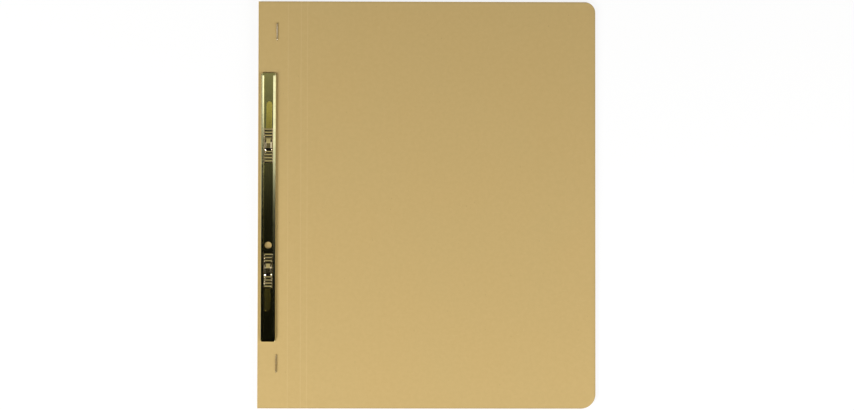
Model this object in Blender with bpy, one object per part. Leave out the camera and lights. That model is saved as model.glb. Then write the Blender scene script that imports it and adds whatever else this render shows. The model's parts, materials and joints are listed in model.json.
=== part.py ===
"""Closed two-prong flat file for A4 sheets, lying on its back cover.

Two manila card covers have their binding edges folded inwards as hems, which are wire-stitched.
A bent metal strip sits in the back hem and sends two prongs up through both covers. A channelled
bar drops over the prongs, which are bent down flat on it and locked by two sliders in the channel.
Metres, +Z up, spine towards -X, head towards +Y, origin below the middle of the file.
"""
import math

import bmesh
import bpy
from mathutils import Matrix

# Card covers
COVER_WIDTH = 0.253
COVER_HEIGHT = 0.305
CARD = 0.00045
HEAD_CORNER_RADIUS = 0.008
TAIL_CORNER_RADIUS = 0.011
HEM_WIDTH = 0.017

# Scored hinge of the front cover: three scores, the first one set back from the hem's free edge
SCORE_SETBACK = 0.0055
INNER_BAND_WIDTH = 0.0097
OUTER_BAND_WIDTH = 0.0047
SCORE_GAP = 0.0003

# Wire staples that hold the hems
WIRE = 0.0006
STAPLE_CROWN = 0.013
STAPLE_CLINCH = 0.0045
STAPLE_BEND_RADIUS = 0.0007
STAPLE_EDGE = 0.003
HEAD_STAPLE_INSET = 0.0229
TAIL_STAPLE_INSET = 0.0335

# Prong strip and compressor bar, both pressed from the same sheet
SHEET = 0.0004
PRONG_WIDTH = 0.0043
PRONG_SPACING = 0.080
PRONG_REACH = 0.0385
PRONG_DROP = 0.0013
PRONG_BEND_RADIUS = 0.0006
PRONG_LEAN = 0.0006
PRONG_TIP_ANGLE = 86
BAR_INSET = 0.0079
BAR_LENGTH = 0.2013
BAR_DROP = 0.0021
BAR_END_TAB = 0.002
BAR_CORNER_CLIP = 0.001
LIP_STUB = 0.00005
SPARE_HOLE_SPACING = 0.0693
HOLE_PLAY = 0.00045
LIP_WIDTH = 0.0018
LIP_INNER_RADIUS = 0.0002

# Sliders that run in the bar's channel
SLIDER_SHEET = 0.0003
SLIDER_LENGTH = 0.026
SLIDER_SHOULDER = 0.00032
UPPER_SLIDER_OFFSET = 0.00525
LOWER_SLIDER_OFFSET = 0.00845
RIB_PITCH = 0.00235
RIB_WIDTH = 0.0011
RIB_HEIGHT = 0.00025
RIB_MARGIN = 0.0005
BOSS_LENGTH = 0.0088
BOSS_OFFSET = 0.0005
BOSS_HEIGHT = 0.0006
BOSS_TOP_LENGTH = 0.0036
BOSS_TOP_WIDTH = 0.0026

# Clearances: between stacked layers, round a staple's wire, beside a slider and over its flange
CLEARANCE = 0.0002
STAPLE_SEAT = 0.0001
LIP_GAP = 0.0003
LIP_PLAY = 0.0001

# Facets of the round shapes
FOLD_STEPS = 8
CORNER_STEPS = 10
LIP_STEPS = 5
BEND_STEPS = 5
TIP_STEPS = 6
RIB_STEPS = 8
HOLE_SIDES = 24
WIRE_HOLE_SIDES = 12
WIRE_BEVEL_RESOLUTION = 2
SHARP_ANGLE = 35

# Heights, from the staple crowns that lie on the table up to the bar
back_bottom = WIRE + STAPLE_SEAT
back_top = back_bottom + CARD
back_cavity = SHEET + 2 * CLEARANCE
back_hem_top = back_top + back_cavity + CARD
hem_space = WIRE + STAPLE_SEAT + CLEARANCE
front_hem_bottom = back_hem_top + hem_space
front_cavity = CLEARANCE
front_bottom = front_hem_bottom + CARD + front_cavity
front_top = front_bottom + CARD
bar_bottom = front_top + CLEARANCE
bar_floor = bar_bottom + SHEET
prong_bottom = bar_floor + CLEARANCE
prong_top = prong_bottom + SHEET
strip_bottom = back_top + CLEARANCE

# Places across the file, from the spine fold to the fore-edge
spine_x = -COVER_WIDTH / 2
fore_x = COVER_WIDTH / 2
hem_x = spine_x + HEM_WIDTH
staple_x = hem_x - STAPLE_EDGE
first_score_x = hem_x + SCORE_SETBACK
bar_x = spine_x + BAR_INSET

# Places along the file, from tail to head
head_y = COVER_HEIGHT / 2
tail_y = -COVER_HEIGHT / 2
upper_root_y = PRONG_SPACING / 2 - PRONG_DROP
lower_root_y = -PRONG_SPACING / 2 - PRONG_DROP
spare_hole_y = upper_root_y - SPARE_HOLE_SPACING
staple_stagger = STAPLE_CROWN + 4 * WIRE

# Sections that fit each other: prong inside slider, slider inside the bar's lips
hole_radius = PRONG_WIDTH / 2 + HOLE_PLAY
slider_half_width = PRONG_WIDTH / 2 + PRONG_LEAN + CLEARANCE / 2 + SLIDER_SHEET
bar_half_width = slider_half_width + LIP_GAP + LIP_WIDTH
flange_half_width = bar_half_width - SHEET - LIP_GAP
lip_top = bar_floor + CLEARANCE + SLIDER_SHEET + LIP_PLAY + SHEET
slider_top = prong_top - bar_floor + CLEARANCE + SLIDER_SHEET


def clear_scene():
    for old in list(bpy.data.objects):
        bpy.data.objects.remove(old, do_unlink=True)


def make_material(name, colour, roughness, metallic):
    material = bpy.data.materials.new(name)
    material.use_nodes = True
    shader = material.node_tree.nodes["Principled BSDF"]
    shader.inputs["Base Color"].default_value = (*colour, 1.0)
    shader.inputs["Roughness"].default_value = roughness
    shader.inputs["Metallic"].default_value = metallic
    return material


def link_object(name, data, material):
    piece = bpy.data.objects.new(name, data)
    bpy.context.scene.collection.objects.link(piece)
    if material:
        data.materials.append(material)
    return piece


def mesh_object(name, shape, material=None):
    """Turn a bmesh into a linked object, with smooth shading over everything but real edges."""
    bmesh.ops.recalc_face_normals(shape, faces=shape.faces)
    mesh = bpy.data.meshes.new(name)
    shape.to_mesh(mesh)
    shape.free()
    mesh.shade_smooth()
    mesh.set_sharp_from_angle(angle=math.radians(SHARP_ANGLE))
    return link_object(name, mesh, material)


def add_boolean(target, tool, operation):
    """Cut, trim or join target with a tool body that stays in the file as a hidden guide."""
    tool.hide_render = True
    tool.display_type = "WIRE"
    step = target.modifiers.new(tool.name, "BOOLEAN")
    step.operation = operation
    step.object = tool


def arc(centre, radius, start, end, steps):
    """Points on an arc in a plane, with the angles in degrees and both ends included."""
    points = []
    for i in range(steps + 1):
        angle = math.radians(start + (end - start) * i / steps)
        points.append((centre[0] + radius * math.cos(angle), centre[1] + radius * math.sin(angle)))
    return points


def extruded(outline, direction):
    """A bmesh solid: a closed outline of 3-D points, swept straight along a direction."""
    shape = bmesh.new()
    face = shape.faces.new([shape.verts.new(point) for point in outline])
    grown = bmesh.ops.extrude_face_region(shape, geom=[face])["geom"]
    far_verts = [part for part in grown if isinstance(part, bmesh.types.BMVert)]
    bmesh.ops.translate(shape, verts=far_verts, vec=direction)
    return shape


def along_file(section, low, high):
    """Sweep a section drawn in XZ along the file, from low to high in Y."""
    return extruded([(x, low, z) for x, z in section], (0, high - low, 0))


def upright(plan, low, high):
    """Sweep a plan drawn in XY up through a thickness, from low to high in Z."""
    return extruded([(x, y, low) for x, y in plan], (0, 0, high - low))


def hole_cutter(name, centres, radius, low, high, sides):
    """One tool body that holds a round upright cutter for every hole."""
    shape = bmesh.new()
    for x, y in centres:
        bmesh.ops.create_cone(
            shape,
            cap_ends=True,
            segments=sides,
            radius1=radius,
            radius2=radius,
            depth=high - low,
            matrix=Matrix.Translation((x, y, (low + high) / 2)),
        )
    return mesh_object(name, shape)


def folded_section(outer_face, inwards, cavity, end_x):
    """Section of a cover whose binding edge is turned back on itself as a hem.

    outer_face is the height of the cover's outside, and inwards is 1 where the inside lies above it.
    """
    outer_radius = CARD + cavity / 2
    inner_radius = cavity / 2
    fold_centre = (spine_x + outer_radius, outer_face + inwards * outer_radius)
    hem_outside = outer_face + inwards * (2 * CARD + cavity)
    hem_inside = hem_outside - inwards * CARD
    outer_fold = arc(fold_centre, outer_radius, -90 * inwards, -270 * inwards, FOLD_STEPS)
    inner_fold = arc(fold_centre, inner_radius, -270 * inwards, -90 * inwards, FOLD_STEPS)
    return [
        (end_x, outer_face),
        *outer_fold,
        (hem_x, hem_outside),
        (hem_x, hem_inside),
        *inner_fold,
        (end_x, outer_face + inwards * CARD),
    ]


def round_fore_corners(shape, edge_x):
    """Round a cover's two free corners, which stand at edge_x along its fore-edge."""
    for corner_y, radius in ((head_y, HEAD_CORNER_RADIUS), (tail_y, TAIL_CORNER_RADIUS)):
        corner = [
            edge
            for edge in shape.edges
            if all(math.dist(vert.co.xy, (edge_x, corner_y)) < CARD / 2 for vert in edge.verts)
        ]
        bmesh.ops.bevel(
            shape,
            geom=corner,
            offset=radius,
            offset_type="OFFSET",
            affect="EDGES",
            segments=CORNER_STEPS,
            profile=0.5,
            material=-1,
        )


def staple_centres(stagger):
    """Middles of a cover's two crowns, moved towards the file's middle by the stagger."""
    return head_y - HEAD_STAPLE_INSET - stagger, tail_y + TAIL_STAPLE_INSET + stagger


def leg_holes(crown_centres):
    half = STAPLE_CROWN / 2
    return [(staple_x, y + side * half) for y in crown_centres for side in (-1, 1)]


def make_back_cover(card):
    section = folded_section(back_bottom, 1, back_cavity, fore_x)
    shape = along_file(section, tail_y, head_y)
    round_fore_corners(shape, fore_x)
    cover = mesh_object("back_cover", shape, card)
    roots = [(bar_x, upper_root_y), (bar_x, lower_root_y)]
    hem_bottom = back_hem_top - CARD
    prong_cut = hole_cutter(
        "back_prong_holes", roots, hole_radius, hem_bottom - CLEARANCE, back_hem_top + CARD, HOLE_SIDES
    )
    add_boolean(cover, prong_cut, "DIFFERENCE")
    legs = leg_holes(staple_centres(staple_stagger))
    leg_cut = hole_cutter(
        "back_staple_holes", legs, WIRE / 2 + STAPLE_SEAT, 0, back_hem_top + CARD, WIRE_HOLE_SIDES
    )
    add_boolean(cover, leg_cut, "DIFFERENCE")


def make_front_binding_strip(card):
    section = folded_section(front_top, -1, front_cavity, first_score_x - SCORE_GAP / 2)
    strip = mesh_object("front_binding_strip", along_file(section, tail_y, head_y), card)
    low = front_hem_bottom - CARD
    high = front_top + CARD
    roots = [(bar_x, upper_root_y), (bar_x, lower_root_y)]
    prong_cut = hole_cutter("front_prong_holes", roots, hole_radius, low, high, HOLE_SIDES)
    add_boolean(strip, prong_cut, "DIFFERENCE")
    legs = leg_holes(staple_centres(0))
    leg_cut = hole_cutter("front_staple_holes", legs, WIRE / 2 + STAPLE_SEAT, low, high, WIRE_HOLE_SIDES)
    add_boolean(strip, leg_cut, "DIFFERENCE")


def make_hinged_cover(card):
    """The front cover beyond its first score: two hinge bands and the panel, each on its score line.

    The hinge lines lie in the card's upper face. The cover slopes from the thick binding down to its
    fore-edge, which lies on the back cover.
    """
    reach = fore_x - first_score_x
    slope = math.asin((front_bottom - back_top - CLEARANCE) / reach)
    widths = {
        "inner_hinge_band": INNER_BAND_WIDTH,
        "outer_hinge_band": OUTER_BAND_WIDTH,
        "front_panel": reach - INNER_BAND_WIDTH - OUTER_BAND_WIDTH,
    }
    carrier = None
    offset = 0.0
    for name, width in widths.items():
        score = bpy.data.objects.new(name + "_score", None)
        bpy.context.scene.collection.objects.link(score)
        if carrier:
            score.parent = carrier
            score.location = (offset, 0, 0)
        else:
            score.location = (first_score_x, 0, front_top)
            score.rotation_euler = (0, slope, 0)
        start = SCORE_GAP / 2
        end = width if name == "front_panel" else width - SCORE_GAP / 2
        plan = [(start, tail_y), (end, tail_y), (end, head_y), (start, head_y)]
        shape = upright(plan, -CARD, 0)
        if name == "front_panel":
            round_fore_corners(shape, end)
        piece = mesh_object(name, shape, card)
        piece.parent = score
        carrier = score
        offset = width


def make_staple(name, y, crown_z, clinch_z, steel):
    """A wire staple: crown outside the cover, legs through both layers, ends clinched inwards."""
    half = STAPLE_CROWN / 2
    r = STAPLE_BEND_RADIUS
    turn = 1 if clinch_z > crown_z else -1
    crown_bend = arc((half - r, crown_z + turn * r), r, -90 * turn, 0, BEND_STEPS)
    clinch_bend = arc((half - r, clinch_z - turn * r), r, 0, 90 * turn, BEND_STEPS)
    leg = [*crown_bend, *clinch_bend, (half - STAPLE_CLINCH, clinch_z)]
    route = [(-across, z) for across, z in reversed(leg)] + leg
    curve = bpy.data.curves.new(name, "CURVE")
    curve.dimensions = "3D"
    curve.bevel_depth = WIRE / 2
    curve.bevel_resolution = WIRE_BEVEL_RESOLUTION
    curve.use_fill_caps = True
    wire = curve.splines.new("POLY")
    wire.points.add(len(route) - 1)
    for point, (across, z) in zip(wire.points, route):
        point.co = (staple_x, y + across, z, 1)
    link_object(name, curve, steel)


def make_staples(steel):
    wire_offset = WIRE / 2 + STAPLE_SEAT
    front_upper, front_lower = staple_centres(0)
    back_upper, back_lower = staple_centres(staple_stagger)
    for name, y in (("front_upper_staple", front_upper), ("front_lower_staple", front_lower)):
        make_staple(name, y, front_top + wire_offset, front_hem_bottom - wire_offset, steel)
    for name, y in (("back_upper_staple", back_upper), ("back_lower_staple", back_lower)):
        make_staple(name, y, back_bottom - wire_offset, back_hem_top + wire_offset, steel)


def half_prong_route(side):
    """Half of the prong strip's middle line: places along the file and heights, from middle to tip.

    Each entry also has the strip's half width there and how far the tongue leans across the bar.
    """
    r = PRONG_BEND_RADIUS
    half_width = PRONG_WIDTH / 2
    root = PRONG_SPACING / 2
    base_z = strip_bottom + SHEET / 2
    tongue_z = prong_bottom + SHEET / 2
    tip_start = root + PRONG_REACH - half_width
    rise = arc((root - r, base_z + r), r, -90, 0, BEND_STEPS)
    turn_out = arc((root + r, tongue_z - r), r, 180, 90, BEND_STEPS)
    route = [(along, z, half_width) for along, z in [*rise, *turn_out, (tip_start, tongue_z)]]
    tip_arc = arc((0, 0), half_width, 90, 90 - PRONG_TIP_ANGLE, TIP_STEPS)
    route += [(tip_start + past, tongue_z, half) for past, half in tip_arc[1:]]
    leans = [side * PRONG_LEAN * max(0, along - root) / PRONG_REACH for along, z, half in route]
    return [(side * along, z, half, lean) for (along, z, half), lean in zip(route, leans)]


def make_prong_strip(brass):
    """One flat strip bent into a U and then over: base in the back hem, two legs, two tongues."""
    route = list(reversed(half_prong_route(-1))) + half_prong_route(1)
    shape = bmesh.new()
    rings = []
    for i, (along, z, half, lean) in enumerate(route):
        before = route[max(i - 1, 0)]
        after = route[min(i + 1, len(route) - 1)]
        run = math.hypot(after[0] - before[0], after[1] - before[1])
        up_y = -(after[1] - before[1]) / run * SHEET / 2
        up_z = (after[0] - before[0]) / run * SHEET / 2
        corners = ((-half, -1), (half, -1), (half, 1), (-half, 1))
        middle_y = along - PRONG_DROP
        rings.append(
            [
                shape.verts.new((bar_x + lean + across, middle_y + face * up_y, z + face * up_z))
                for across, face in corners
            ]
        )
    for ring, following in zip(rings, rings[1:]):
        for k in range(4):
            shape.faces.new((ring[k], ring[k - 1], following[k - 1], following[k]))
    shape.faces.new(rings[0])
    shape.faces.new(rings[-1])
    mesh_object("prong_strip", shape, brass)


def channel_section():
    """Section of the bar: a flat floor with both edges folded up and over into flat lips."""
    outer_radius = LIP_INNER_RADIUS + SHEET
    bend_x = bar_half_width - outer_radius
    low = (bend_x, bar_bottom + outer_radius)
    high = (bend_x, lip_top - outer_radius)
    lip_end = bar_half_width - LIP_WIDTH
    right_half = [
        *arc(low, outer_radius, -90, 0, LIP_STEPS),
        *arc(high, outer_radius, 0, 90, LIP_STEPS),
        (lip_end, lip_top),
        (lip_end, lip_top - SHEET),
        *arc(high, LIP_INNER_RADIUS, 90, 0, LIP_STEPS),
        *arc(low, LIP_INNER_RADIUS, 0, -90, LIP_STEPS),
    ]
    section = right_half + [(-across, z) for across, z in reversed(right_half)]
    return [(bar_x + across, z) for across, z in section]


def make_compressor_bar(brass):
    half = BAR_LENGTH / 2
    low_y = -half - BAR_DROP
    high_y = half - BAR_DROP
    bar = mesh_object("compressor_bar", along_file(channel_section(), low_y, high_y), brass)
    lip_stub = bar_floor + LIP_STUB
    for end, side in (("lower", -1), ("upper", 1)):
        lip_end = side * (half - BAR_END_TAB) - BAR_DROP
        beyond = side * (half + BAR_END_TAB) - BAR_DROP
        section = [
            (bar_x + across * 2 * bar_half_width, z)
            for across, z in ((-1, lip_stub), (1, lip_stub), (1, lip_top + SHEET), (-1, lip_top + SHEET))
        ]
        cut = along_file(section, lip_end, beyond)
        add_boolean(bar, mesh_object(end + "_lip_cut", cut), "DIFFERENCE")
    reach_x = bar_half_width - BAR_CORNER_CLIP - SHEET
    reach_y = half - BAR_CORNER_CLIP - SHEET
    plan = [
        (bar_x - reach_x, -half - SHEET - BAR_DROP),
        (bar_x + reach_x, -half - SHEET - BAR_DROP),
        (bar_x + bar_half_width + SHEET, -reach_y - BAR_DROP),
        (bar_x + bar_half_width + SHEET, reach_y - BAR_DROP),
        (bar_x + reach_x, half + SHEET - BAR_DROP),
        (bar_x - reach_x, half + SHEET - BAR_DROP),
        (bar_x - bar_half_width - SHEET, reach_y - BAR_DROP),
        (bar_x - bar_half_width - SHEET, -reach_y - BAR_DROP),
    ]
    trim = upright(plan, bar_bottom - SHEET, lip_top + SHEET)
    add_boolean(bar, mesh_object("bar_corner_trim", trim), "INTERSECT")
    centres = [(bar_x, y) for y in (upper_root_y, lower_root_y, spare_hole_y)]
    holes = hole_cutter(
        "bar_holes", centres, hole_radius, bar_bottom - SHEET, bar_floor + SHEET, HOLE_SIDES
    )
    add_boolean(bar, holes, "DIFFERENCE")


def slider_section():
    """Hat section across a slider: raised top, side walls and side flanges.

    It is drawn about the slider's middle, with heights from the bar's floor.
    """
    wide = slider_half_width
    inner = wide - SLIDER_SHEET
    flange_low = CLEARANCE
    flange_high = flange_low + SLIDER_SHEET
    top_low = slider_top - SLIDER_SHEET
    shoulder = min(SLIDER_SHOULDER, slider_top - flange_high)
    right_half = [
        *arc((wide - shoulder, slider_top - shoulder), shoulder, 90, 0, BEND_STEPS),
        (wide, flange_high),
        (flange_half_width, flange_high),
        (flange_half_width, flange_low),
        (inner, flange_low),
        (inner, top_low),
    ]
    return right_half + [(-x, z) for x, z in reversed(right_half)]


def make_grips(name):
    """Cross ribs at both ends of a slider and a four-sided thumb boss between them, as one tool body.

    The boss sits a little towards the head, so the tail end has room for one more rib.
    """
    shape = bmesh.new()
    root = slider_top - SLIDER_SHEET / 2
    rib_half = slider_half_width - RIB_MARGIN
    crest = slider_top + RIB_HEIGHT - root
    first = SLIDER_LENGTH / 2 - RIB_WIDTH
    for side in (-1, 1):
        boss_end = BOSS_LENGTH / 2 + side * BOSS_OFFSET
        count = int((first - boss_end - RIB_WIDTH / 2) / RIB_PITCH) + 1
        for k in range(count):
            y = side * (first - k * RIB_PITCH)
            arch = [
                (-rib_half, y + RIB_WIDTH / 2 * along, root + crest * up)
                for along, up in arc((0, 0), 1, 0, 180, RIB_STEPS)
            ]
            rib = extruded(arch, (2 * rib_half, 0, 0))
            join_bmesh(shape, rib)
    base = (slider_half_width - RIB_MARGIN / 2, BOSS_LENGTH / 2)
    tip = (BOSS_TOP_WIDTH / 2, BOSS_TOP_LENGTH / 2)
    signs = ((-1, -1), (1, -1), (1, 1), (-1, 1))
    boss_rise = slider_top + BOSS_HEIGHT - root
    boss = extruded([(a * base[0], b * base[1], root) for a, b in signs], (0, 0, boss_rise))
    for vert in boss.verts:
        if vert.co.z > root:
            vert.co.x *= tip[0] / base[0]
            vert.co.y *= tip[1] / base[1]
        vert.co.y += BOSS_OFFSET
    join_bmesh(shape, boss)
    return mesh_object(name, shape)


def join_bmesh(target, extra):
    """Add a second bmesh's faces to the first, as a separate body."""
    copies = {vert: target.verts.new(vert.co) for vert in extra.verts}
    for face in extra.faces:
        target.faces.new([copies[vert] for vert in face.verts])
    extra.free()


def make_slider(name, y, brass):
    half = SLIDER_LENGTH / 2
    slider = mesh_object(name, along_file(slider_section(), -half, half), brass)
    slider.location = (bar_x, y, bar_floor)
    grips = make_grips(name + "_grips")
    grips.parent = slider
    add_boolean(slider, grips, "UNION")


clear_scene()
card = make_material("manila_card", (0.565, 0.402, 0.162), 0.85, 0.0)
brass = make_material("brassed_sheet", (0.55, 0.47, 0.22), 0.18, 1.0)
steel = make_material("staple_wire", (0.62, 0.60, 0.55), 0.3, 1.0)
make_back_cover(card)
make_front_binding_strip(card)
make_hinged_cover(card)
make_staples(steel)
make_prong_strip(brass)
make_compressor_bar(brass)
make_slider("upper_slider", upper_root_y + UPPER_SLIDER_OFFSET, brass)
make_slider("lower_slider", lower_root_y - LOWER_SLIDER_OFFSET, brass)
bpy.context.view_layer.update()
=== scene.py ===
import json
import math

import bmesh
import bpy
from mathutils import Matrix, Vector


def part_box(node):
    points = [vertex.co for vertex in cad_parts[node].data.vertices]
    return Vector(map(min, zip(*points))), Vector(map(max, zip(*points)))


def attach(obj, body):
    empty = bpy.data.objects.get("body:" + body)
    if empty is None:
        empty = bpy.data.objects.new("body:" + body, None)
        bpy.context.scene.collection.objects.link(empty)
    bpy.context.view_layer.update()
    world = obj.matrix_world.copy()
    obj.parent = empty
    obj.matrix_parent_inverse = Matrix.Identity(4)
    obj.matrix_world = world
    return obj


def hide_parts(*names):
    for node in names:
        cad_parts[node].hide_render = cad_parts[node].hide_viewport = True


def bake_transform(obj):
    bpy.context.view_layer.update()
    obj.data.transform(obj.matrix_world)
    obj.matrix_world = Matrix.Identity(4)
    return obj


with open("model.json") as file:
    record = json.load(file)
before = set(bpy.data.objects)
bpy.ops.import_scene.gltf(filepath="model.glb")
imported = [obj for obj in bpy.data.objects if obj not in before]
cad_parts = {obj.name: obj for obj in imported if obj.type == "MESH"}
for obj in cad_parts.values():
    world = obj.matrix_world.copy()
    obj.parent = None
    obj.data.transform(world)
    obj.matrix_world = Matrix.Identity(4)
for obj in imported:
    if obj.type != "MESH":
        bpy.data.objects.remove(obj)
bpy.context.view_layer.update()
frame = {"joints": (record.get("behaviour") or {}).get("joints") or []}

# Back cover
# One sheet of buff manila card, cut square at the spine and rounded at the two fore-edge corners.
# Its binding edge is folded inwards as a hem, punched for the two prongs and pierced by the staples.
CARD = 0.00045
CARD_RIM = 0.00006
HEM_WIDTH = 0.017
FOLD_STEPS = 14
HEAD_CORNER = 0.008
TAIL_CORNER = 0.011
CORNER_STEPS = 16
PRONG_FOOT = 0.040
PRONG_HOLE_RADIUS = 0.0026
PRONG_HOLE_SIDES = 32
WIRE = 0.0006
LEG_HOLE_RADIUS = 0.0004
LEG_HOLE_SIDES = 12
PUNCH_ROOM = 1.4
DARK_EDGE_WIDTH = 0.0016
SCORE_HIGHLIGHT_WIDTH = 0.0006
LINE_CORE = 0.0001
BUFF_WARM = (0.575, 0.400, 0.158)
BUFF_COOL = (0.556, 0.405, 0.167)
BUFF_CLOUD = (0.600, 0.432, 0.182)
FIBRE_PALE = (0.655, 0.490, 0.235)
SPECK_BROWN = (0.27, 0.165, 0.055)
DARK_EDGE_BROWN = (0.36, 0.255, 0.11)
# Painted highlight: the pale tint laid along each score line.
SCORE_HIGHLIGHT_PALE = (0.66, 0.50, 0.25)
RIM_TURN = math.radians(57)
SHADE_TURN = math.radians(20)
SAME_POINT = 1e-7
SAME_PLACE = 1e-6
back_low, back_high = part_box("back_cover")
strip_low, strip_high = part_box("prong_strip")
spine_x, tail_y = back_low.x, back_low.y
fore_x, head_y = back_high.x, back_high.y
hem_x = spine_x + HEM_WIDTH
strip_x = (strip_low.x + strip_high.x) / 2
strip_y = (strip_low.y + strip_high.y) / 2
prong_roots = [strip_y + PRONG_FOOT, strip_y - PRONG_FOOT]


class Signal:
    """A shader socket that can stand in a sum: 1 - mask adds a Math node."""

    def __init__(self, tree, socket=None):
        self.tree = tree
        self.socket = socket

    def node(self, kind, settings, inputs, output=0):
        """Add a node, give it its settings and then its values or links, and return one output."""
        made = self.tree.nodes.new(kind)
        for name, value in settings.items():
            setattr(made, name, value)
        for name, value in inputs.items():
            if isinstance(value, Signal):
                self.tree.links.new(value.socket, made.inputs[name])
            else:
                made.inputs[name].default_value = value
        return Signal(self.tree, made.outputs[output])

    def reckon(self, operation, first, second):
        return self.node("ShaderNodeMath", {"operation": operation}, {0: first, 1: second})

    def __add__(self, other):
        return self.reckon("ADD", self, other)

    def __radd__(self, other):
        return self.reckon("ADD", other, self)

    def __sub__(self, other):
        return self.reckon("SUBTRACT", self, other)

    def __rsub__(self, other):
        return self.reckon("SUBTRACT", other, self)

    def __mul__(self, other):
        return self.reckon("MULTIPLY", self, other)

    def __rmul__(self, other):
        return self.reckon("MULTIPLY", other, self)

    def __abs__(self):
        return self.reckon("ABSOLUTE", self, 0.0)

    def least(self, other):
        return self.reckon("MINIMUM", self, other)

    def most(self, other):
        return self.reckon("MAXIMUM", self, other)

    def rise(self, low, high):
        """0 below low and 1 above high, with a soft start and end; it falls where low is above high."""
        return self.node(
            "ShaderNodeMapRange",
            {"interpolation_type": "SMOOTHSTEP"},
            {"Value": self, "From Min": low, "From Max": high},
        )

    def tint(self, first, second):
        """A colour that goes from first at 0 to second at 1."""
        first = first if isinstance(first, Signal) else (*first, 1.0)
        second = second if isinstance(second, Signal) else (*second, 1.0)
        factor, colour_a, colour_b, colour_out = 0, 6, 7, 2
        sockets = {factor: self, colour_a: first, colour_b: second}
        return self.node("ShaderNodeMix", {"data_type": "RGBA"}, sockets, colour_out)

    def noise(self, place, scale, detail, stretch=(1.0, 1.0, 1.0)):
        """A cloudy pattern over a place, drawn out along an axis whose stretch is under 1."""
        spread = self.node("ShaderNodeMapping", {}, {"Vector": place, "Scale": stretch})
        return self.node(
            "ShaderNodeTexNoise",
            {},
            {"Vector": spread, "Scale": scale, "Detail": detail, "Roughness": 0.6},
        )


def new_finish(name, shader_values):
    """A material with one Principled shader whose constant values are set on its own sockets."""
    material = bpy.data.materials.new(name)
    material.use_nodes = True
    shader = material.node_tree.nodes["Principled BSDF"]
    for socket, value in shader_values.items():
        shader.inputs[socket].default_value = value
    return material, Signal(material.node_tree), shader


def feed(shader, signals):
    """Link what changes over a surface to the shader's sockets."""
    for socket, signal in signals.items():
        signal.tree.links.new(signal.socket, shader.inputs[socket])


def once(parts):
    """The parts in their order, each listed once."""
    return list(dict.fromkeys(parts))


def grown_edges(made):
    """The far edges among what an extrusion or a spin has made."""
    far = {part for part in made if isinstance(part, bmesh.types.BMVert)}
    return [part for part in made if isinstance(part, bmesh.types.BMEdge) and far.issuperset(part.verts)]


def pull(shape, edges, step):
    """Draw edges out by a straight step into new faces, and return the far edges."""
    made = bmesh.ops.extrude_edge_only(shape, edges=edges)["geom"]
    far = [part for part in made if isinstance(part, bmesh.types.BMVert)]
    bmesh.ops.translate(shape, verts=far, vec=step)
    return grown_edges(made)


def bend(shape, edges, centre, axis, angle, steps):
    """Turn edges about an axis into a curved wall, and return the far edges."""
    ends = once(vert for edge in edges for vert in edge.verts)
    made = bmesh.ops.spin(shape, geom=ends + edges, cent=centre, axis=axis, angle=angle, steps=steps)
    return grown_edges(made["geom_last"])


def cut_across(shape, faces, axis, place):
    """Cut the given faces along a plane that stands square to an axis."""
    parts = once(part for face in faces for part in (face, *face.edges, *face.verts))
    point = Vector((0, 0, 0))
    normal = Vector((0, 0, 0))
    point[axis] = place
    normal[axis] = 1
    bmesh.ops.bisect_plane(shape, geom=parts, dist=SAME_POINT, plane_co=point, plane_no=normal)


def level_faces(shape, z):
    """The faces of a sheet that lie flat at a height."""
    return [face for face in shape.faces if all(abs(vert.co.z - z) < SAME_PLACE for vert in face.verts)]


def punch(shape, x, y, z, radius, sides):
    """Punch a round hole in a flat level of a sheet: open a square and fill it again round a ring."""
    half = radius * PUNCH_ROOM
    for axis, place in ((0, x - half), (0, x + half), (1, y - half), (1, y + half)):
        cut_across(shape, level_faces(shape, z), axis, place)
    middle = Vector((x, y))
    blank = min(level_faces(shape, z), key=lambda face: (face.calc_center_median().xy - middle).length)
    open_edges = list(blank.edges)
    bmesh.ops.delete(shape, geom=[blank], context="FACES_ONLY")
    place = Matrix.Translation((x, y, z))
    ring = bmesh.ops.create_circle(shape, segments=sides, radius=radius, matrix=place)["verts"]
    ring_edges = once(edge for vert in ring for edge in vert.link_edges)
    bmesh.ops.triangle_fill(shape, edges=open_edges + ring_edges, use_beauty=True)


def thicken(shape, thickness, outward):
    """Give a sheet its thickness behind its faces, once the widest of them looks along outward."""
    bmesh.ops.recalc_face_normals(shape, faces=shape.faces)
    widest = max(shape.faces, key=lambda face: face.calc_area())
    if widest.normal.dot(Vector(outward)) < 0:
        bmesh.ops.reverse_faces(shape, faces=shape.faces)
    bmesh.ops.solidify(shape, geom=shape.faces, thickness=thickness)
    bmesh.ops.recalc_face_normals(shape, faces=shape.faces)


def ease_rims(shape, offset, kept=lambda edge: True):
    """Take the sharpness off the cut edges of a sheet, or off those of them that are kept."""
    rims = [edge for edge in shape.edges if edge.calc_face_angle(0) > RIM_TURN and kept(edge)]
    bmesh.ops.bevel(
        shape,
        geom=rims,
        offset=offset,
        offset_type="OFFSET",
        affect="EDGES",
        segments=2,
        profile=0.5,
        material=-1,
        clamp_overlap=True,
    )


def round_corner(shape, x, y, radius, segments):
    """Round a corner of a sheet that has no thickness yet."""
    corner = [vert for vert in shape.verts if (vert.co.xy - Vector((x, y))).length < SAME_PLACE]
    bmesh.ops.bevel(
        shape,
        geom=corner,
        offset=radius,
        affect="VERTICES",
        segments=segments,
        profile=0.5,
        material=-1,
    )


def make_piece(name, shape, finish):
    """Link a finished mesh, with each point's resting place kept for the pattern on its surface."""
    mesh = bpy.data.meshes.new(name)
    shape.to_mesh(mesh)
    shape.free()
    mesh.shade_smooth()
    mesh.set_sharp_from_angle(angle=SHADE_TURN)
    lay = mesh.attributes.new("lay", "FLOAT_VECTOR", "POINT")
    lay.data.foreach_set("vector", [value for vert in mesh.vertices for value in vert.co])
    mesh.materials.append(finish)
    piece = bpy.data.objects.new(name, mesh)
    bpy.context.scene.collection.objects.link(piece)
    return piece


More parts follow.
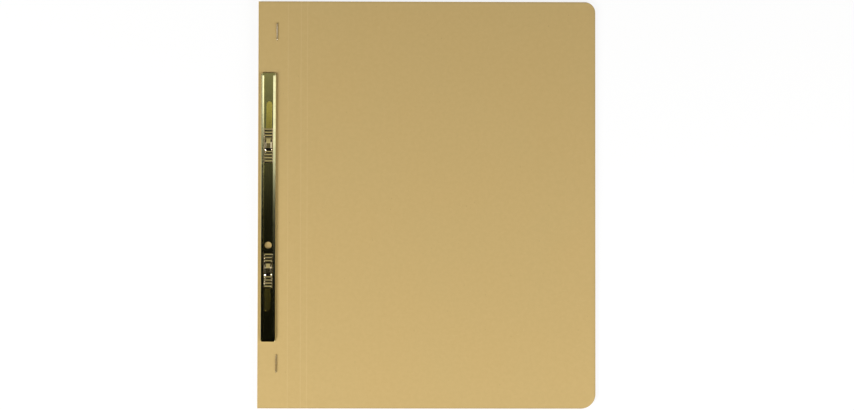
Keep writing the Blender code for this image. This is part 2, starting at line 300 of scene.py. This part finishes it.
def card_finish(name, highlit_score_lines):
    """Manila card: cloudy fibre, a few dark specks, darker edges and a painted highlight on each score.
    """
    material, signal, shader = new_finish(name, {"IOR": 1.42, "Specular IOR Level": 0.25})
    lay = signal.node("ShaderNodeAttribute", {"attribute_name": "lay"}, {}, "Vector")
    x, y = (signal.node("ShaderNodeSeparateXYZ", {}, {"Vector": lay}, axis) for axis in "XY")
    cloud = signal.noise(lay, scale=330.0, detail=4.0)
    drift = signal.noise(lay, scale=16.0, detail=2.0)
    long_fibre = signal.noise(lay, scale=900.0, detail=3.0, stretch=(1.0, 0.22, 1.0))
    cross_fibre = signal.noise(lay, scale=900.0, detail=3.0, stretch=(0.22, 1.0, 1.0))
    fibre = long_fibre.most(cross_fibre)
    grain = {"Vector": lay, "Rotation": (0.0, 0.0, 0.25), "Scale": (1.0, 0.4, 1.0)}
    speck_place = signal.node("ShaderNodeMapping", {}, grain)
    speck_cell = signal.node("ShaderNodeTexVoronoi", {}, {"Vector": speck_place, "Scale": 300.0})
    speck_patch = signal.noise(lay, scale=90.0, detail=0.0)
    speck = speck_cell.rise(0.085, 0.02) * speck_patch.rise(0.52, 0.6)
    border = (x - spine_x).least(fore_x - x).least(y - tail_y).least(head_y - y)
    # The card turns a darker brown towards every border.
    dark_edge = border.rise(DARK_EDGE_WIDTH, LINE_CORE)
    tone = drift.tint(BUFF_WARM, BUFF_COOL)
    tone = (cloud.rise(0.3, 0.7) * 0.5).tint(tone, BUFF_CLOUD)
    tone = (fibre.rise(0.62, 0.8) * 0.3).tint(tone, FIBRE_PALE)
    tone = (speck * 0.45).tint(tone, SPECK_BROWN)
    tone = (dark_edge * 0.35).tint(tone, DARK_EDGE_BROWN)
    relief = fibre * 0.6 + cloud * 0.4
    # Painted highlight: each score line is tinted paler, as if its crease caught the light.
    for line_x in highlit_score_lines:
        score = abs(x - line_x).rise(SCORE_HIGHLIGHT_WIDTH, LINE_CORE)
        tone = (score * 0.3).tint(tone, SCORE_HIGHLIGHT_PALE)
    bump = signal.node("ShaderNodeBump", {}, {"Strength": 0.12, "Distance": 0.0002, "Height": relief})
    feed(shader, {"Base Color": tone, "Roughness": 0.74 + cloud * 0.2, "Normal": bump})
    return material


def hemmed_sheet(outside, inwards, cavity, stations):
    """Outside face of a cover: hem, half-round spine fold, then flat stations of (x, z) onwards."""
    shape = bmesh.new()
    radius = CARD + cavity / 2
    hem_z = outside + inwards * 2 * radius
    ends = [shape.verts.new((hem_x, y, hem_z)) for y in (tail_y, head_y)]
    edges = [shape.edges.new(ends)]
    edges = pull(shape, edges, (spine_x + radius + CARD - hem_x, 0, 0))
    edges = pull(shape, edges, (-CARD, 0, 0))
    centre = (spine_x + radius, 0, outside + inwards * radius)
    edges = bend(shape, edges, centre, (0, -inwards, 0), math.pi, FOLD_STEPS)
    x, z = spine_x + radius, outside
    for next_x, next_z in [(x + CARD, outside), *stations]:
        edges = pull(shape, edges, (next_x - x, 0, next_z - z))
        x, z = next_x, next_z
    bmesh.ops.remove_doubles(shape, verts=shape.verts, dist=SAME_POINT)
    return shape


def punch_for_prongs(shape, levels):
    """Punch a cover, at the given levels, where the two prongs go through."""
    for root_y in prong_roots:
        for z in levels:
            punch(shape, strip_x, root_y, z, PRONG_HOLE_RADIUS, PRONG_HOLE_SIDES)


def pierce_for_staple(shape, staple, levels):
    """Pierce a cover, at the given levels, where the two legs of a staple go through."""
    low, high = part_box(staple)
    x = (low.x + high.x) / 2
    for y in (low.y + WIRE / 2, high.y - WIRE / 2):
        for z in levels:
            punch(shape, x, y, z, LEG_HOLE_RADIUS, LEG_HOLE_SIDES)


def round_fore_edge(shape, x):
    """Round the two corners of a cover that lie away from the spine."""
    round_corner(shape, x, head_y, HEAD_CORNER, CORNER_STEPS)
    round_corner(shape, x, tail_y, TAIL_CORNER, CORNER_STEPS)


back_cavity = back_high.z - back_low.z - 2 * CARD
back_shape = hemmed_sheet(back_low.z, 1, back_cavity, [(fore_x, back_low.z)])
punch_for_prongs(back_shape, [back_high.z])
for staple in ("back_upper_staple", "back_lower_staple"):
    pierce_for_staple(back_shape, staple, [back_low.z, back_high.z])
round_fore_edge(back_shape, fore_x)
thicken(back_shape, CARD, (0, 0, -1))
ease_rims(back_shape, CARD_RIM)
manila = card_finish("manila_card", [])
back_cover = make_piece("back_cover_card", back_shape, manila)
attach(back_cover, "binding")
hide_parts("back_cover")

# Wire staples
# Steel stitching wire, cut and bent in the stitching machine. Each crown lies on the outside of a
# cover, and the legs go through the card and are clinched flat towards each other on the inside.
WIRE_SIDES = 14
WIRE_BEND = 0.0007
BEND_STEPS = 8
CLINCH = 0.0045
WIRE_TIP = 0.72
WIRE_TIP_LENGTH = 0.0003
WIRE_STEEL = (1.0, 0.95, 0.82)
WIRE_STAIN = (0.42, 0.34, 0.22)


def wire_finish():
    """Drawn steel wire with fine lengthwise die marks and a dull, slightly stained plating."""
    material, signal, shader = new_finish("stitching_wire", {"Metallic": 1.0})
    place = signal.node("ShaderNodeTexCoord", {}, {}, "Object")
    marks = signal.noise(place, scale=2600.0, detail=2.0, stretch=(1.0, 0.05, 1.0))
    stain = signal.noise(place, scale=420.0, detail=3.0).rise(0.5, 0.75)
    colour = (stain * 0.25).tint(WIRE_STEEL, WIRE_STAIN)
    bump = signal.node("ShaderNodeBump", {}, {"Strength": 0.1, "Distance": 0.0001, "Height": marks})
    feed(shader, {"Base Color": colour, "Roughness": 0.1 + marks * 0.08 + stain * 0.12, "Normal": bump})
    return material


def make_wire_staple(node, finish):
    """Sweep a round wire from one clinched end through both legs and the crown to the other end."""
    low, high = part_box(node)
    x = (low.x + high.x) / 2
    front = node.startswith("front")
    rise = 1 if front else -1
    crown_z = (high.z if front else low.z) - rise * WIRE / 2
    clinch_z = (low.z if front else high.z) + rise * WIRE / 2
    leg_y = low.y + WIRE / 2
    far_leg_y = high.y - WIRE / 2
    shape = bmesh.new()
    turn = math.radians(90)
    start = Matrix.Translation((x, leg_y + CLINCH, clinch_z)) @ Matrix.Rotation(turn, 4, "X")
    tip = bmesh.ops.create_circle(
        shape, cap_ends=True, segments=WIRE_SIDES, radius=WIRE / 2 * WIRE_TIP, matrix=start
    )
    edges = once(edge for vert in tip["verts"] for edge in vert.link_edges)
    edges = pull(shape, edges, (0, -WIRE_TIP_LENGTH, 0))
    end_verts = once(vert for edge in edges for vert in edge.verts)
    swell = Matrix.Translation((-x, 0, -clinch_z))
    bmesh.ops.scale(shape, verts=end_verts, vec=(1 / WIRE_TIP, 1, 1 / WIRE_TIP), space=swell)
    edges = pull(shape, edges, (0, -(CLINCH - WIRE_TIP_LENGTH - WIRE_BEND), 0))
    inner = clinch_z + rise * WIRE_BEND
    outer = crown_z - rise * WIRE_BEND
    edges = bend(shape, edges, (x, leg_y + WIRE_BEND, inner), (-rise, 0, 0), turn, BEND_STEPS)
    edges = pull(shape, edges, (0, 0, outer - inner))
    edges = bend(shape, edges, (x, leg_y + WIRE_BEND, outer), (-rise, 0, 0), turn, BEND_STEPS)
    pull(shape, edges, (0, (far_leg_y - leg_y) / 2 - WIRE_BEND, 0))
    half = bmesh.ops.duplicate(shape, geom=[*shape.verts, *shape.edges, *shape.faces])["geom"]
    middle = Matrix.Translation((-x, -(leg_y + far_leg_y) / 2, 0))
    half_verts = [part for part in half if isinstance(part, bmesh.types.BMVert)]
    bmesh.ops.rotate(shape, verts=half_verts, matrix=Matrix.Rotation(math.pi, 3, "Z"), space=middle)
    bmesh.ops.remove_doubles(shape, verts=shape.verts, dist=SAME_PLACE)
    bmesh.ops.recalc_face_normals(shape, faces=shape.faces)
    piece = make_piece(node + "_wire", shape, finish)
    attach(piece, "binding")
    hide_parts(node)


stitching_wire = wire_finish()
for node in ("back_upper_staple", "back_lower_staple", "front_upper_staple", "front_lower_staple"):
    make_wire_staple(node, stitching_wire)

# Prong strip
# One strip of brass-plated sheet steel with two rounded ends. It is bent up twice, so that its base
# lies in the back hem and its two prongs come up through both covers and are bent flat by hand.
SHEET = 0.0004
PRONG_WIDTH = 0.0043
PRONG_BEND = 0.0006
PRONG_LEAN = 0.0006
PRONG_CAMBER = 0.00004
CAMBER_RUN = 0.0019
FOOT_RUN = 0.0074
PRONG_RISE = 0.00012
CREST_SHARE = 0.4
PRONG_TIP_DROP = 0.00018
PRONG_TIP_ROUND = 0.499
PRONG_TIP_STEPS = 14
PRONG_STRIPS = 10
PRONG_RIM = 0.000088
PRONG_BRASS = (0.99, 0.84, 0.26)


def plated_finish(name, colour, roughness, rub):
    """Brass plating over rolled sheet steel: faint rolling lines, cloudy lacquer and small scuffs."""
    material, signal, shader = new_finish(name, {"Metallic": 1.0})
    place = signal.node("ShaderNodeTexCoord", {}, {}, "Object")
    rolling = signal.noise(place, scale=1500.0, detail=3.0, stretch=(1.0, 0.03, 1.0))
    cloud = signal.noise(place, scale=140.0, detail=3.0)
    scuff = signal.noise(place, scale=700.0, detail=4.0, stretch=(0.35, 1.0, 1.0)).rise(0.66, 0.76)
    dulled = tuple(value * 0.9 for value in colour)
    scuffed = tuple(value * 0.7 for value in colour)
    tone = cloud.rise(0.35, 0.7).tint(colour, dulled)
    tone = (scuff * rub).tint(tone, scuffed)
    rough = roughness + cloud * (roughness * 0.4) + scuff * (rub * 0.25)
    bump = signal.node("ShaderNodeBump", {}, {"Strength": 0.05, "Distance": 0.0001, "Height": rolling})
    feed(shader, {"Base Color": tone, "Roughness": rough, "Normal": bump})
    return material


def make_prong_strip():
    """Bend half of the strip from its middle to a tip, then turn a copy round for the other half."""
    shape = bmesh.new()
    base_z = strip_low.z
    tongue_z = strip_high.z - SHEET
    tip_y = strip_high.y - strip_y
    tongue_y = PRONG_FOOT + PRONG_BEND
    tongue = tip_y - tongue_y
    outer = PRONG_BEND + SHEET / 2
    inner = PRONG_BEND - SHEET / 2
    turn = math.radians(90)
    ends = [shape.verts.new((side * PRONG_WIDTH / 2, 0, base_z)) for side in (-1, 1)]
    edges = [shape.edges.new(ends)]
    edges = pull(shape, edges, (0, PRONG_FOOT - PRONG_BEND, 0))
    edges = bend(shape, edges, (0, PRONG_FOOT - PRONG_BEND, base_z + outer), (1, 0, 0), turn, BEND_STEPS)
    edges = pull(shape, edges, (0, 0, tongue_z - inner - base_z - outer))
    edges = bend(shape, edges, (0, tongue_y, tongue_z - inner), (-1, 0, 0), turn, BEND_STEPS)
    pull(shape, edges, (0, tongue, 0))
    tip_radius = PRONG_WIDTH * PRONG_TIP_ROUND
    for side in (-1, 1):
        round_corner(shape, side * PRONG_WIDTH / 2, tip_y, tip_radius, PRONG_TIP_STEPS)
    for run in (CAMBER_RUN, FOOT_RUN, CREST_SHARE * tongue, tongue - PRONG_WIDTH / 2):
        cut_across(shape, list(shape.faces), 1, tongue_y + run)
    for step in range(1, PRONG_STRIPS):
        cut_across(shape, list(shape.faces), 0, PRONG_WIDTH * (step / PRONG_STRIPS - 0.5))
    for vert in shape.verts:
        run = max(0, vert.co.y - tongue_y)
        along = run / tongue
        vert.co.z -= min(1, run / CAMBER_RUN) * PRONG_CAMBER * (2 * vert.co.x / PRONG_WIDTH) ** 2
        vert.co.z += min(along / CREST_SHARE, 1) * PRONG_RISE
        vert.co.z -= max(0, along - CREST_SHARE) / (1 - CREST_SHARE) * (PRONG_RISE + PRONG_TIP_DROP)
        vert.co.x += PRONG_LEAN * max(0, vert.co.y - PRONG_FOOT) / (tip_y - PRONG_FOOT)
    copied = bmesh.ops.duplicate(shape, geom=[*shape.verts, *shape.edges, *shape.faces])["geom"]
    copied_verts = [part for part in copied if isinstance(part, bmesh.types.BMVert)]
    bmesh.ops.rotate(shape, verts=copied_verts, matrix=Matrix.Rotation(math.pi, 3, "Z"), cent=(0, 0, 0))
    bmesh.ops.remove_doubles(shape, verts=shape.verts, dist=SAME_PLACE)
    thicken(shape, SHEET, (0, 0, -1))
    ease_rims(shape, PRONG_RIM)
    bmesh.ops.translate(shape, verts=shape.verts, vec=(strip_x, strip_y, 0))
    return shape


prong_brass = plated_finish("prong_brass", PRONG_BRASS, roughness=0.13, rub=0.3)
prongs = make_piece("prong_strip_sheet", make_prong_strip(), prong_brass)
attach(prongs, "binding")
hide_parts("prong_strip")

# Front cover
# One sheet of the same card, hemmed like the back and pressed with three parallel scores, at which it
# turns when the file is opened. It is made of three sheets here, each drawn in fine steps across a
# score.
SCORE_BEAD = 0.00006
BEAD_HALF = 0.0005
BEND_HALF = 0.0012
SCORE_STEPS = 24
binding_low, binding_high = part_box("front_binding_strip")
front_bottom, front_top = binding_low.z, binding_high.z
panel_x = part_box("front_panel")[1].x
joint_places = {joint["name"]: joint["pos_m"] for joint in frame["joints"] if "pos_m" in joint}
score_joints = ("cover_first_score", "cover_second_score", "cover_third_score")
scores = [joint_places[name] for name in score_joints]
first_x, second_x, third_x = (score[0] for score in scores)
inner_seam = (first_x + second_x) / 2
outer_seam = (second_x + third_x) / 2
slope = (scores[0][2] - scores[2][2]) / (third_x - first_x)


def cover_z(x):
    """Height of the cover's outside: level over the binding, then sloping, with a bead on each score."""
    z = front_top - slope * max(0, x - first_x)
    for score_x in (first_x, second_x, third_x):
        off = abs(x - score_x)
        if off < BEAD_HALF:
            z += SCORE_BEAD * math.cos(math.pi * off / (2 * BEAD_HALF)) ** 2
    return z


def stations_over(start, score_x, end):
    """Places across the cover from start to end, close together where it bends at a score."""
    near = [score_x + BEND_HALF * (2 * step / SCORE_STEPS - 1) for step in range(SCORE_STEPS + 1)]
    return [(x, cover_z(x)) for x in (start, *near, end)]


def flat_sheet(stations):
    """Outside face of a part of the cover that has no hem, drawn across its stations of (x, z)."""
    shape = bmesh.new()
    x, z = stations[0]
    ends = [shape.verts.new((x, y, z)) for y in (tail_y, head_y)]
    edges = [shape.edges.new(ends)]
    for next_x, next_z in stations[1:]:
        edges = pull(shape, edges, (next_x - x, 0, next_z - z))
        x, z = next_x, next_z
    bmesh.ops.remove_doubles(shape, verts=shape.verts, dist=SAME_POINT)
    return shape


def fold_over(piece, score):
    """Bake a sheet's placement into its mesh; the score's place is read, but the sheet is not bent."""
    x, _, z = score
    x - BEND_HALF
    x + BEND_HALF
    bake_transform(piece)


# This card has a painted highlight along each of the three scores.
manila_score_highlit = card_finish("manila_card_scored", [first_x, second_x, third_x])

front_cavity = front_top - front_bottom - 2 * CARD
binding_shape = hemmed_sheet(front_top, -1, front_cavity, stations_over(hem_x, first_x, inner_seam))
punch_for_prongs(binding_shape, [front_top, front_bottom])
for staple in ("front_upper_staple", "front_lower_staple"):
    pierce_for_staple(binding_shape, staple, [front_top, front_bottom])
thicken(binding_shape, CARD, (0, 0, 1))
ease_rims(binding_shape, CARD_RIM, lambda edge: max(v.co.x for v in edge.verts) < inner_seam - CARD)
binding_sheet = make_piece("front_cover_binding", binding_shape, manila_score_highlit)
fold_over(binding_sheet, scores[0])
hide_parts("front_binding_strip")

band_shape = flat_sheet(stations_over(inner_seam, second_x, outer_seam))
thicken(band_shape, CARD, (0, 0, 1))
ease_rims(band_shape, CARD_RIM, lambda edge: abs(edge.verts[0].co.y - edge.verts[1].co.y) < CARD)
band_sheet = make_piece("front_cover_hinge", band_shape, manila_score_highlit)
fold_over(band_sheet, scores[1])
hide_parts("inner_hinge_band")

panel_shape = flat_sheet(stations_over(outer_seam, third_x, panel_x))
round_fore_edge(panel_shape, panel_x)
thicken(panel_shape, CARD, (0, 0, 1))
ease_rims(panel_shape, CARD_RIM, lambda edge: min(v.co.x for v in edge.verts) > outer_seam + CARD)
panel_sheet = make_piece("front_cover_panel", panel_shape, manila_score_highlit)
fold_over(panel_sheet, scores[2])
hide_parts("outer_hinge_band", "front_panel")

# Compressor bar
# A brass-plated steel channel that drops over the prongs and clamps the sheets. Both long edges are
# rolled up and folded over into lips that hold the sliders, and the floor is pierced with three holes.
LIP_WIDTH = 0.0021
LIP_TILT = math.radians(9.5)
LIP_ROLL = 0.0022
ROLL_TILT = math.radians(30)
ROLL_OUT = 0.00035
LIP_BEND = 0.0005
WALL_BEND = 0.0008
WALL_LEAN = math.radians(25)
END_TAB = 0.002
SPARE_HOLE_SPACING = 0.0693
CORNER_CLIP = 0.001
BAR_RIM = 0.00008
BAR_BRASS = (0.86, 0.82, 0.45)
bar_low, bar_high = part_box("compressor_bar")
bar_x = (bar_low.x + bar_high.x) / 2
bar_left = bar_low.x - ROLL_OUT
bar_right = bar_high.x + ROLL_OUT


def make_bar():
    """Roll the long edges over, pierce the floor, trim the lips at both ends and clip the corners."""
    shape = bmesh.new()
    roll_z = bar_high.z - LIP_ROLL * math.cos(LIP_TILT)
    fold_z = roll_z + (LIP_ROLL - LIP_BEND) * math.cos(ROLL_TILT)
    wall_z = bar_low.z + WALL_BEND
    stub_z = wall_z - WALL_BEND * math.sin(WALL_LEAN)
    drop = fold_z - LIP_BEND * math.sin(WALL_LEAN) - stub_z
    inset = drop * math.tan(WALL_LEAN)
    fold_x = LIP_BEND
    roll_x = fold_x + (LIP_ROLL - LIP_BEND) * math.sin(ROLL_TILT)
    wall_x = fold_x + (WALL_BEND - LIP_BEND) * math.cos(WALL_LEAN) + inset
    lip_run = LIP_WIDTH - roll_x + LIP_ROLL * math.sin(LIP_TILT)
    lip_rise = lip_run * math.tan(LIP_TILT)
    roll_turn = ROLL_TILT - LIP_TILT
    fold_turn = math.radians(90) - ROLL_TILT + WALL_LEAN
    wall_turn = math.radians(90) - WALL_LEAN
    lip_x, lip_z = bar_left + LIP_WIDTH, bar_high.z + lip_rise
    ends = [shape.verts.new((lip_x, y, lip_z)) for y in (bar_low.y, bar_high.y)]
    edges = [shape.edges.new(ends)]
    edges = pull(shape, edges, (-lip_run, 0, -lip_rise))
    edges = bend(shape, edges, (bar_left + roll_x, 0, roll_z), (0, -1, 0), roll_turn, BEND_STEPS)
    edges = bend(shape, edges, (bar_left + fold_x, 0, fold_z), (0, -1, 0), fold_turn, BEND_STEPS)
    edges = pull(shape, edges, (inset, 0, -drop))
    edges = bend(shape, edges, (bar_left + wall_x, 0, wall_z), (0, -1, 0), wall_turn, BEND_STEPS)
    edges = pull(shape, edges, (bar_right - bar_left - 2 * wall_x, 0, 0))
    edges = bend(shape, edges, (bar_right - wall_x, 0, wall_z), (0, -1, 0), wall_turn, BEND_STEPS)
    edges = pull(shape, edges, (inset, 0, drop))
    edges = bend(shape, edges, (bar_right - fold_x, 0, fold_z), (0, -1, 0), fold_turn, BEND_STEPS)
    edges = bend(shape, edges, (bar_right - roll_x, 0, roll_z), (0, -1, 0), roll_turn, BEND_STEPS)
    pull(shape, edges, (-lip_run, 0, lip_rise))
    bmesh.ops.remove_doubles(shape, verts=shape.verts, dist=SAME_POINT)
    for y in (*prong_roots, prong_roots[0] - SPARE_HOLE_SPACING):
        punch(shape, bar_x, y, bar_low.z, PRONG_HOLE_RADIUS, PRONG_HOLE_SIDES)
    # Lengthwise cuts beside the folded lips and beside the bends of the floor
    for inset_x in (fold_x + SHEET / 4, wall_x + SHEET / 2):
        cut_across(shape, list(shape.faces), 0, bar_left + inset_x)
        cut_across(shape, list(shape.faces), 0, bar_right - inset_x)
    tail_tab, head_tab = bar_low.y + END_TAB, bar_high.y - END_TAB
    for y in (tail_tab, head_tab):
        cut_across(shape, list(shape.faces), 1, y)
    raised = [face for face in shape.faces if face.calc_center_median().z > stub_z]
    beyond = [face for face in raised if not tail_tab < face.calc_center_median().y < head_tab]
    bmesh.ops.delete(shape, geom=beyond, context="FACES")
    for side_x, corner_x in ((-1, bar_left), (1, bar_right)):
        for side_y, corner_y in ((-1, bar_low.y), (1, bar_high.y)):
            bmesh.ops.bisect_plane(
                shape,
                geom=[*shape.verts, *shape.edges, *shape.faces],
                dist=SAME_POINT,
                plane_co=(corner_x - side_x * CORNER_CLIP, corner_y, 0),
                plane_no=(side_x, side_y, 0),
                clear_outer=True,
            )
    thicken(shape, SHEET, (0, 0, -1))
    ease_rims(shape, BAR_RIM)
    return shape


bar_brass = plated_finish("bar_brass", BAR_BRASS, roughness=0.07, rub=0.25)
bar = make_piece("compressor_bar_channel", make_bar(), bar_brass)
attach(bar, "binding")
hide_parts("compressor_bar")

# Sliders
# Two like pressings of thinner plated sheet. Side flanges run under the bar's lips, and the raised
# top is pressed with cross ribs for grip and a four-sided boss for the thumb between them.
SLIDER_SHEET = 0.0003
SHOULDER = 0.00032
FLANGE_REACH = 0.00455
SLIDER_HALF = 0.00315
HEAD_RIBS = 3
TAIL_RIBS = 4
RIB_START = 0.0011
RIB_PITCH = 0.00235
RIB_WIDTH = 0.0013
RIB_HEIGHT = 0.00025
RIB_MARGIN = 0.0003
RIB_FADE = 0.0004
RIB_ROUND = 1.2
BOSS_HEIGHT = 0.0006
BOSS_MARGIN = 0.00025
BOSS_HEAD = 0.0052
BOSS_TAIL = 0.0039
BOSS_TOP_HEAD = 0.0016
BOSS_TOP_TAIL = 0.0018
BOSS_TOP_WIDTH = 0.0028
GRID = 0.00014
SLIDER_BRASS = (0.88, 0.73, 0.46)


def pressed_height(x, y, half_length):
    """How far the ribs and the boss stand above a slider's flat top."""
    height = 0.0
    along = half_length - RIB_START - abs(y)
    rib = round(along / RIB_PITCH)
    off = abs(along - rib * RIB_PITCH)
    side = min(1, max(0, (SLIDER_HALF - RIB_MARGIN - abs(x)) / RIB_FADE))
    if 0 <= rib < (HEAD_RIBS if y > 0 else TAIL_RIBS) and off < RIB_WIDTH / 2:
        crest = math.cos(math.pi * off / RIB_WIDTH) ** RIB_ROUND
        height = RIB_HEIGHT * crest * side * side * (3 - 2 * side)
    side_run = SLIDER_HALF - BOSS_MARGIN - BOSS_TOP_WIDTH / 2
    out_x = max(0, abs(x) - BOSS_TOP_WIDTH / 2) / side_run
    out_head = (y - BOSS_TOP_HEAD) / (BOSS_HEAD - BOSS_TOP_HEAD)
    out_tail = (-y - BOSS_TOP_TAIL) / (BOSS_TAIL - BOSS_TOP_TAIL)
    out = math.hypot(out_x, max(0, out_head, out_tail))
    boss = BOSS_HEIGHT * max(0, 1 - out**2)
    return max(height, boss)


def make_slider(node):
    """Bend a fine flat grid to the slider's section, then press the ribs and the boss into its top."""
    low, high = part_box(node)
    middle_x = (low.x + high.x) / 2
    middle_y = (low.y + high.y) / 2
    half_length = (high.y - low.y) / 2
    flange_z = low.z + SLIDER_SHEET
    top_z = high.z - BOSS_HEIGHT
    flat = SLIDER_HALF - SHOULDER
    curl = SHOULDER * math.pi / 2
    wall = top_z - SHOULDER - flange_z
    blank = flat + curl + wall + FLANGE_REACH - SLIDER_HALF
    columns = 2 * round(blank / GRID)
    rows = 2 * round(half_length / GRID)
    shape = bmesh.new()
    bmesh.ops.create_grid(shape, x_segments=columns, y_segments=rows, size=1.0)
    for vert in shape.verts:
        u = abs(vert.co.x) * blank
        side = -1 if vert.co.x < 0 else 1
        y = vert.co.y * half_length
        if u <= flat:
            x, z = u, top_z
        elif u <= flat + curl:
            turn = (u - flat) / SHOULDER
            x = flat + SHOULDER * math.sin(turn)
            z = top_z - SHOULDER + SHOULDER * math.cos(turn)
        elif u <= flat + curl + wall:
            x, z = SLIDER_HALF, top_z - SHOULDER - (u - flat - curl)
        else:
            x, z = SLIDER_HALF + u - flat - curl - wall, flange_z
        if u <= flat + curl / 2:
            z += pressed_height(x, y, half_length)
        vert.co = (middle_x + side * x, middle_y + y, z)
    thicken(shape, SLIDER_SHEET, (0, 0, 1))
    return shape


slider_brass = plated_finish("slider_brass", SLIDER_BRASS, roughness=0.12, rub=0.3)
for node, body in (("upper_slider", "upper_lock"), ("lower_slider", "lower_lock")):
    slider = make_piece(node + "_pressing", make_slider(node), slider_brass)
    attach(slider, body)
    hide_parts(node)

# Studio
# A white table top that keeps a soft shadow, two soft lamps, and a room that is dark overhead, with
# bands of light towards the file's head for the metal to mirror. The camera looks straight down.
TABLE_HALF = 4.0
TABLE_COLOUR = (0.85, 0.85, 0.85, 1.0)
GLOW_WHITE = (1.0, 1.0, 1.0, 1.0)
GLOW_LEVEL = 1.05
GLOW_SHARE = 0.82
scene = bpy.context.scene
scene.view_settings.view_transform = "Standard"
table_shape = bmesh.new()
bmesh.ops.create_grid(table_shape, x_segments=1, y_segments=1, size=TABLE_HALF)
table_mesh = bpy.data.meshes.new("table_top")
table_shape.to_mesh(table_mesh)
table_shape.free()
table_top = bpy.data.objects.new("table_top", table_mesh)
scene.collection.objects.link(table_top)
table_white = bpy.data.materials.new("table_white")
table_white.use_nodes = True
table_white.node_tree.nodes.clear()
signal = Signal(table_white.node_tree)
seen = signal.node("ShaderNodeLightPath", {}, {}, "Is Camera Ray")
seen = seen.most(signal.node("ShaderNodeLightPath", {}, {}, "Is Glossy Ray"))
seen = seen.most(signal.node("ShaderNodeLightPath", {}, {}, "Is Transmission Ray"))
matte = signal.node("ShaderNodeBsdfDiffuse", {}, {"Color": TABLE_COLOUR})
glow = signal.node("ShaderNodeEmission", {}, {"Color": GLOW_WHITE, "Strength": GLOW_LEVEL})
surface = signal.node("ShaderNodeMixShader", {}, {0: seen * GLOW_SHARE, 1: matte, 2: glow})
output = table_white.node_tree.nodes.new("ShaderNodeOutputMaterial")
table_white.node_tree.links.new(surface.socket, output.inputs["Surface"])
table_mesh.materials.append(table_white)

# The light of the room goes by the parts of a direction to the right, to the head and up. Flat metal
# mirrors the band straight above, and lips, ribs and wires mirror the sides of it. Each pair of parts
# is where a stretch of light starts and where it is full.
ROOM_DARK = 0.003
ROOM_WHITE = (1.0, 1.0, 1.0)
BAND_YELLOW = (1.0, 0.98, 0.62)
BAND_MIDDLE = -0.07
BAND_SIDE = (0.24, 0.12)
DIM_START = (0.024, 0.08)
DIM_LEVEL = 0.145
BRIGHT_START = (0.092, 0.107)
BRIGHT_LEVEL = 0.42
BRIGHT_FALL = (0.14, 0.3)
FALL_LEVEL = 0.12
LEFT_START = (0.061, 0.073)
LEFT_SIDE = (-0.52, -0.44)
LEFT_LEVEL = 1.3
RIGHT_START = (0.03, 0.057)
LEFT_TO_RIGHT = (-0.1, 0.1)
FAR_LEFT_SIDE = (-0.56, -0.74)
FAR_LEFT_START = (0.0, 0.045)
FAR_LEFT_LEVEL = 0.34
FAR_RIGHT_SIDE = (0.72, 0.86)
FAR_RIGHT_LOSS = 0.7
SIDES_END = (0.24, 0.12)
SIDES_LEVEL = 1.2
HORIZON = (0.14, 0.04)
room = bpy.data.worlds.new("room")
room.use_nodes = True
room.node_tree.nodes.clear()
signal = Signal(room.node_tree)
direction = signal.node("ShaderNodeTexCoord", {}, {}, "Generated")
whole = {"Vector": direction}
right, head, up = (signal.node("ShaderNodeSeparateXYZ", {}, whole, axis) for axis in "XYZ")
band = abs(right - BAND_MIDDLE).rise(*BAND_SIDE)
dim_light = head.rise(*DIM_START) * DIM_LEVEL
bright_light = head.rise(*BRIGHT_START) * (BRIGHT_LEVEL - head.rise(*BRIGHT_FALL) * FALL_LEVEL)
left_light = head.rise(*LEFT_START) * right.rise(*LEFT_SIDE) * LEFT_LEVEL
right_light = head.rise(*RIGHT_START)
side_light = left_light + (right_light - left_light) * right.rise(*LEFT_TO_RIGHT)
far_left = right.rise(*FAR_LEFT_SIDE)
far_right = right.rise(*FAR_RIGHT_SIDE)
side_light = side_light * (1 - far_left) * (1 - far_right * FAR_RIGHT_LOSS)
side_light = side_light + head.rise(*FAR_LEFT_START) * far_left * FAR_LEFT_LEVEL
side_light = side_light * head.rise(*SIDES_END) * SIDES_LEVEL
overhead = ROOM_DARK + band * (dim_light + bright_light) + (1 - band) * side_light
horizon = up.rise(*HORIZON)
level = overhead + horizon * (1.0 - overhead)
colour = (band * (1 - horizon)).tint(ROOM_WHITE, BAND_YELLOW)
sky = signal.node("ShaderNodeBackground", {}, {"Color": colour, "Strength": level})
output = room.node_tree.nodes.new("ShaderNodeOutputWorld")
room.node_tree.links.new(sky.socket, output.inputs["Surface"])
scene.world = room

for name, place, size, power in (
    ("left_lamp", (-1.16, -0.9, 0.68), 0.62, 33.4),
    ("right_lamp", (1.0, -0.77, 0.56), 0.6, 16.4),
):
    lamp_data = bpy.data.lights.new(name, "AREA")
    lamp_data.shape = "SQUARE"
    lamp_data.size = size
    lamp_data.energy = power
    lamp = bpy.data.objects.new(name, lamp_data)
    lamp.location = place
    lamp.rotation_euler = (-lamp.location).to_track_quat("-Z", "Y").to_euler()
    scene.collection.objects.link(lamp)

SENSOR_WIDTH = 36.0
CAMERA_HEIGHT = 1.5
VIEW_WIDTH = 0.6413
CAMERA_ROLL = math.radians(0.09)
camera_place = Vector((0.0002, -0.0373, CAMERA_HEIGHT))
aim_place = Vector((0.0002, -0.0003, 0.0044))
camera_data = bpy.data.cameras.new("overhead_camera")
camera_data.sensor_width = SENSOR_WIDTH
camera_data.lens = SENSOR_WIDTH * CAMERA_HEIGHT / VIEW_WIDTH
camera = bpy.data.objects.new("overhead_camera", camera_data)
camera.location = camera_place
aim = (aim_place - camera_place).to_track_quat("-Z", "Y")
camera.rotation_euler = (aim @ Matrix.Rotation(CAMERA_ROLL, 3, "Z").to_quaternion()).to_euler()
scene.collection.objects.link(camera)
scene.camera = camera
